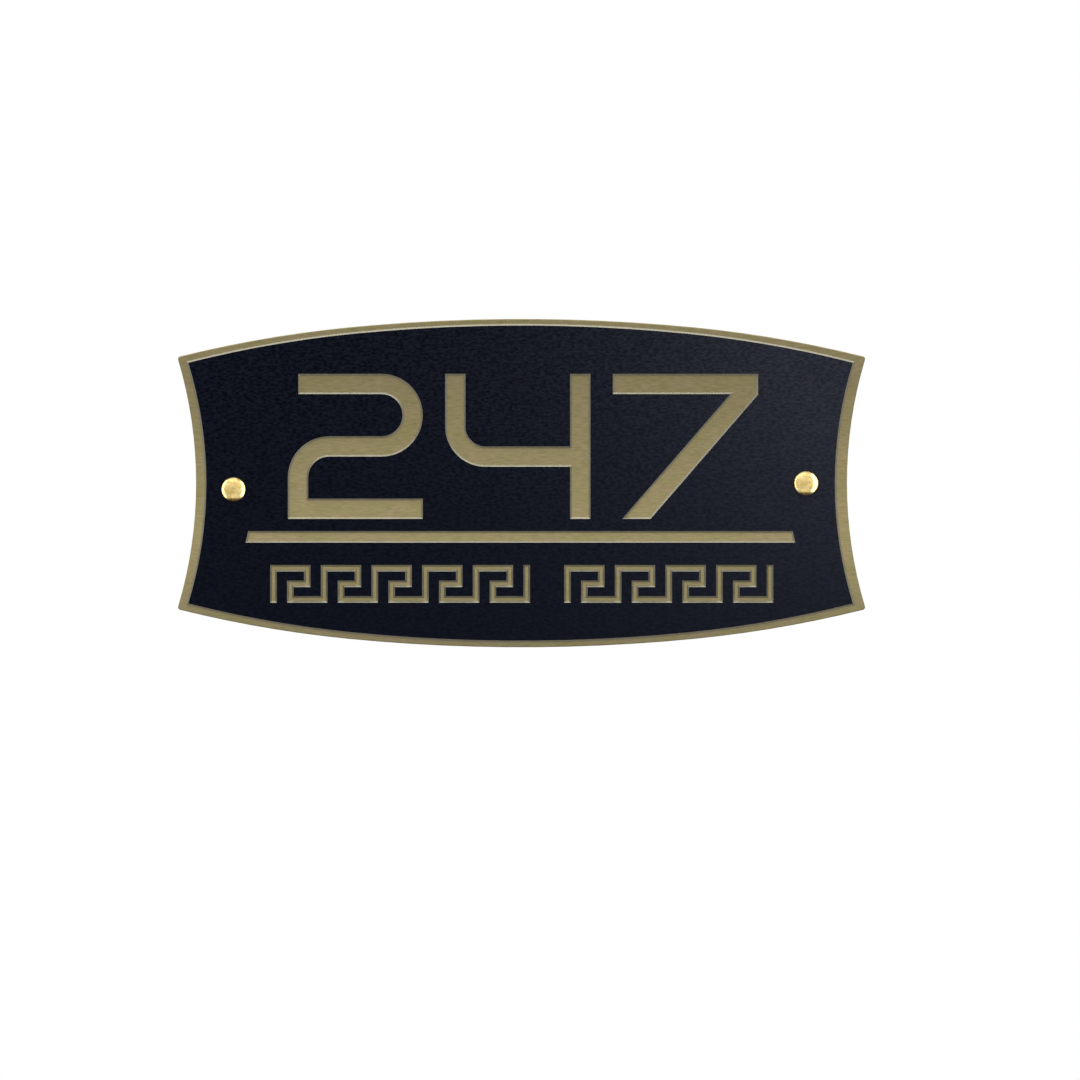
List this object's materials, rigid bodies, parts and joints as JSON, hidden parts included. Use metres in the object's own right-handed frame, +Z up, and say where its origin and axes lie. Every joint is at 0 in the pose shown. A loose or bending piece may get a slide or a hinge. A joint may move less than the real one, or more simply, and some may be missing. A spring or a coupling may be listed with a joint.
{
  "type": "house number plaque",
  "caption": "Wide house number plaque with hollow ends and domed edges, numerals cut through a black face to bare metal, fixed by countersunk screws under polished dome caps.",
  "frame": {"origin": "middle of the plate's flat back face, where it lies against the wall", "axes": "+X to the reader's right along the plate, +Z up, the face towards -Y and the wall on the +Y side"},
  "size_m": [0.3592, 0.0339, 0.1716],
  "materials": {
    "bare_metal": "brushed along the plate",
    "screw_metal": "turned",
    "cap_metal": "polished"
  },
  "bodies": {
    "root": {"engraved_plate": "bare_metal", "fixing_screws": "screw_metal", "dome_caps": "cap_metal"}
  },
  "joints": []
}
